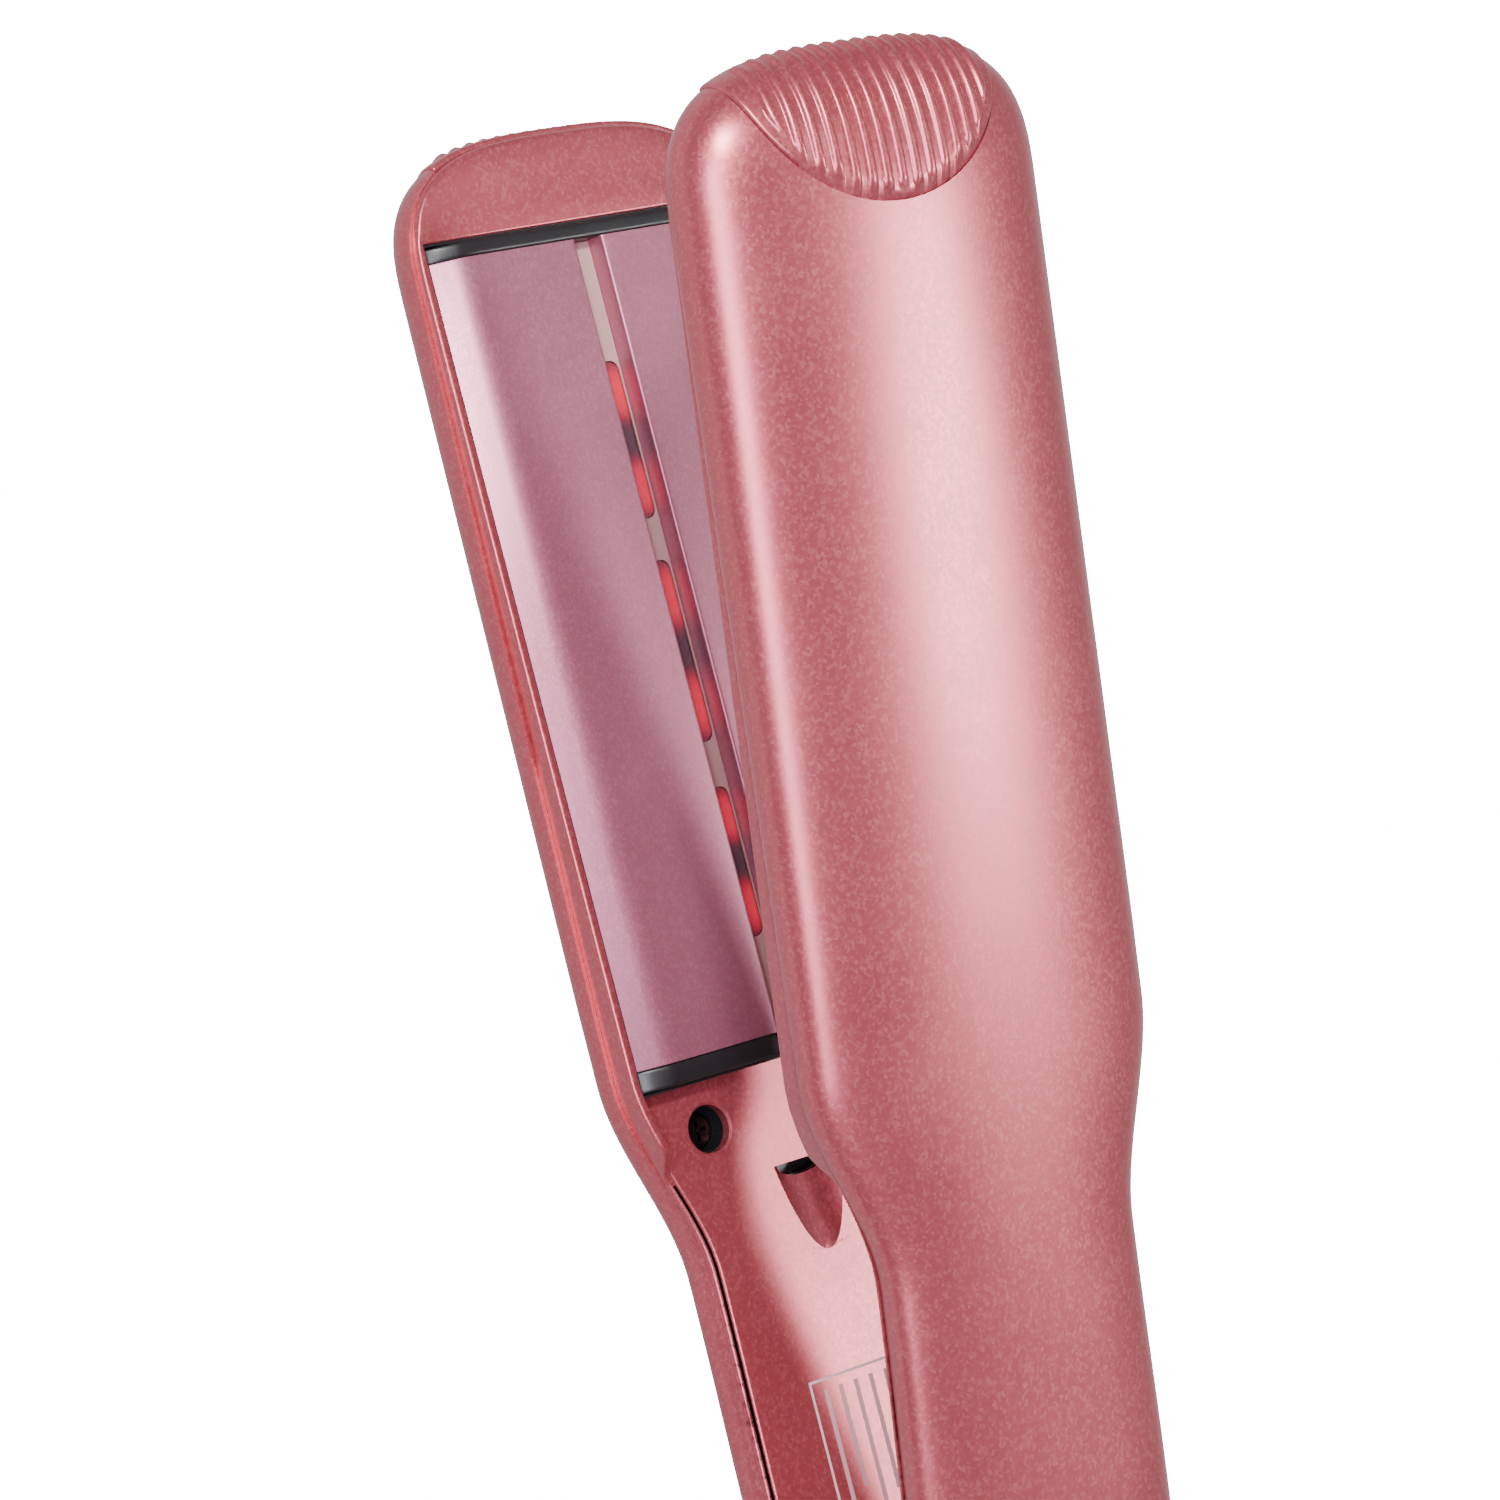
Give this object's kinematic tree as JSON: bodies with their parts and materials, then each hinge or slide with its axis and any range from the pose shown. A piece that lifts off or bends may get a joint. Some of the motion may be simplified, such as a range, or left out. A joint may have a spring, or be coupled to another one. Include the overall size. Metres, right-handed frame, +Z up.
{
  "type": "flat iron",
  "caption": "Hair straightener with two hinged arms, floating heated plates with a lit centre channel, ribbed finger grips and a swivelling cord inlet.",
  "frame": {"origin": "middle of the box on the surface the lower arm lies on", "axes": "+X along the lower arm towards the tips, +Y across the arms, +Z up; the hinge axis is parallel to Y"},
  "size_m": [0.2704, 0.0494, 0.0748],
  "materials": {
    "rose_paint": "metallic rose paint, satin",
    "plate_coating": "mauve ceramic coating, satin",
    "black_plastic": "heat-proof, fine texture",
    "silicone": "matt",
    "ceramic": "fired ceramic",
    "sheet_metal": "rolled",
    "spring_steel": "drawn wire",
    "zinc_screw": "plated",
    "hinge_steel": "ground",
    "circuit_board": "solder mask",
    "lamp": "red lamp",
    "window_clear": "clear red insert",
    "lens_dark": "smoked",
    "wire_insulation": "woven glass sleeve",
    "sensor_body": "coated"
  },
  "bodies": {
    "lower_arm": {"lower_shell": "rose_paint", "lower_panel": "rose_paint", "lower_grip_pad": "rose_paint", "lower_plate_carrier": "black_plastic", "lower_plate_cushions": "silicone", "lower_led_board": "circuit_board", "lower_leds": "lamp", "lower_panel_screws": "zinc_screw", "lower_leads": "wire_insulation", "main_board": "circuit_board", "tact_switches": "black_plastic", "display_module": "black_plastic", "display_lens": "lens_dark", "hinge_pin_left": "hinge_steel", "hinge_pin_right": "hinge_steel", "hinge_cap_left": "rose_paint", "hinge_cap_right": "rose_paint", "opening_spring": "spring_steel"},
    "upper_arm": {"upper_shell": "rose_paint", "upper_panel": "rose_paint", "upper_grip_pad": "rose_paint", "upper_plate_carrier": "black_plastic", "upper_plate_cushions": "silicone", "upper_led_board": "circuit_board", "upper_leds": "lamp", "upper_panel_screws": "zinc_screw", "upper_leads": "wire_insulation"},
    "lower_plate": {"lower_heater_plate": "plate_coating", "lower_light_windows": "window_clear", "lower_tip_strip": "black_plastic", "lower_waist_strip": "black_plastic", "lower_ceramic_heaters": "ceramic", "lower_heater_clamp": "sheet_metal", "lower_thermistor": "sensor_body", "lower_thermal_fuse": "sensor_body"},
    "upper_plate": {"upper_heater_plate": "plate_coating", "upper_light_windows": "window_clear", "upper_tip_strip": "black_plastic", "upper_waist_strip": "black_plastic", "upper_ceramic_heaters": "ceramic", "upper_heater_clamp": "sheet_metal", "upper_thermistor": "sensor_body", "upper_thermal_fuse": "sensor_body"},
    "swivel": {"cord_swivel": "black_plastic", "swivel_clip": "spring_steel"},
    "plus_button": {"plus_button": "rose_paint"},
    "power_button": {"power_button": "rose_paint"},
    "minus_button": {"minus_button": "rose_paint"}
  },
  "joints": [
    {"name": "arm_hinge", "type": "hinge", "parent": "lower_arm", "child": "upper_arm", "pos_m": [-0.11646, 0, 0.01307], "axis": [0, -1, 0], "range_deg": [-11.85, 0], "stiffness_Nm_per_rad": 1, "springref_deg": 20.05, "deforming": ["opening_spring"]},
    {"name": "lower_plate_float", "type": "slide", "parent": "lower_arm", "child": "lower_plate", "axis": [0, 0, -1], "range_m": [0, 0.0006], "stiffness_N_per_m": 2000, "springref_m": -0.0005, "deforming": ["lower_plate_cushions"]},
    {"name": "upper_plate_float", "type": "slide", "parent": "upper_arm", "child": "upper_plate", "axis": [-0.2053, 0, 0.9787], "range_m": [0, 0.0006], "stiffness_N_per_m": 2000, "springref_m": -0.0005, "deforming": ["upper_plate_cushions"]},
    {"name": "cord_swivel_turn", "type": "hinge", "parent": "lower_arm", "child": "swivel", "pos_m": [-0.11646, 0, 0.01307], "axis": [1, 0, 0], "continuous": true},
    {"name": "plus_button_press", "type": "slide", "parent": "lower_arm", "child": "plus_button", "axis": [0, 0, -1], "range_m": [0, 0.0004], "stiffness_N_per_m": 600, "springref_m": -0.0004},
    {"name": "power_button_press", "type": "slide", "parent": "lower_arm", "child": "power_button", "axis": [0, 0, -1], "range_m": [0, 0.0004], "stiffness_N_per_m": 600, "springref_m": -0.0004},
    {"name": "minus_button_press", "type": "slide", "parent": "lower_arm", "child": "minus_button", "axis": [0, 0, -1], "range_m": [0, 0.0004], "stiffness_N_per_m": 600, "springref_m": -0.0004}
  ]
}
